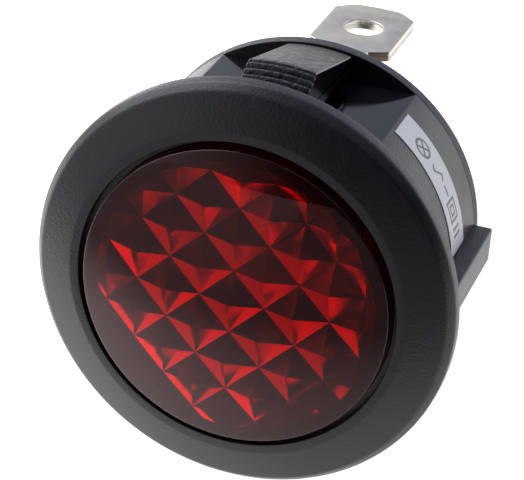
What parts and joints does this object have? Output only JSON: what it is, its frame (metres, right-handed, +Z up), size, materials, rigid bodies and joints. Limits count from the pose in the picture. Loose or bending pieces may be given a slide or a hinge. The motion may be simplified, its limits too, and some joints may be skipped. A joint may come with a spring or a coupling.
{
  "type": "panel indicator light",
  "caption": "Round snap-in panel indicator lamp: black bezel and barrel, domed red prismatic lens, toothed snap arms, side ribs and two blade terminals.",
  "frame": {"origin": "on the lamp's axis, in the plane of the bezel's rear face, which seats on the front of the panel", "axes": "+Y along the axis, from the lens to the terminals; +Z up, through the upper snap arm and terminal; +X to the right, through a rib, seen from the front"},
  "size_m": [0.03, 0.0329, 0.03],
  "materials": {
    "black_moulding": "satin black moulded plastic, glossier on the barrel flats",
    "red_lens": "clear ruby red moulded plastic, polished front, prismatic inner face",
    "nickel_plate": "satin nickel plate over brass, bare brass on the cut edges",
    "lamp_glass": "clear lamp glass",
    "nickel_electrode": "oxidised nickel",
    "tinned_lead": "tinned copper-clad wire",
    "resistor_coat": "baked tan lacquer",
    "resistor_paint": "painted bands",
    "sleeve": "woven glass sleeving, cream",
    "solder": "bright solder",
    "label_film": "white printed film with grey marks"
  },
  "bodies": {
    "body": {"housing": "black_moulding", "lens": "red_lens", "terminal_top": "nickel_plate", "terminal_bottom": "nickel_plate", "lamp_envelope": "lamp_glass", "lamp_pinch": "lamp_glass", "electrode_upper": "nickel_electrode", "electrode_lower": "nickel_electrode", "resistor_body": "resistor_coat", "resistor_bands": "resistor_paint", "rating_label": "label_film", "lamp_lead_upper": "tinned_lead", "lamp_lead_lower": "tinned_lead", "resistor_lead_left": "tinned_lead", "resistor_lead_right": "tinned_lead", "sleeve_upper": "sleeve", "sleeve_lower": "sleeve", "solder_top": "solder", "solder_bottom": "solder", "splice_solder": "solder"},
    "arm_top": {"snap_arm_top": "black_moulding"},
    "arm_bottom": {"snap_arm_bottom": "black_moulding"}
  },
  "joints": [
    {"name": "snap_top_flex", "type": "hinge", "parent": "body", "child": "arm_top", "pos_m": [0, 0.01235, 0.01195], "axis": [1, 0, 0], "range_deg": [0, 14], "stiffness_Nm_per_rad": 0.3},
    {"name": "snap_bottom_flex", "type": "hinge", "parent": "body", "child": "arm_bottom", "pos_m": [0, 0.01235, -0.01195], "axis": [-1, 0, 0], "range_deg": [0, 14], "stiffness_Nm_per_rad": 0.3}
  ]
}
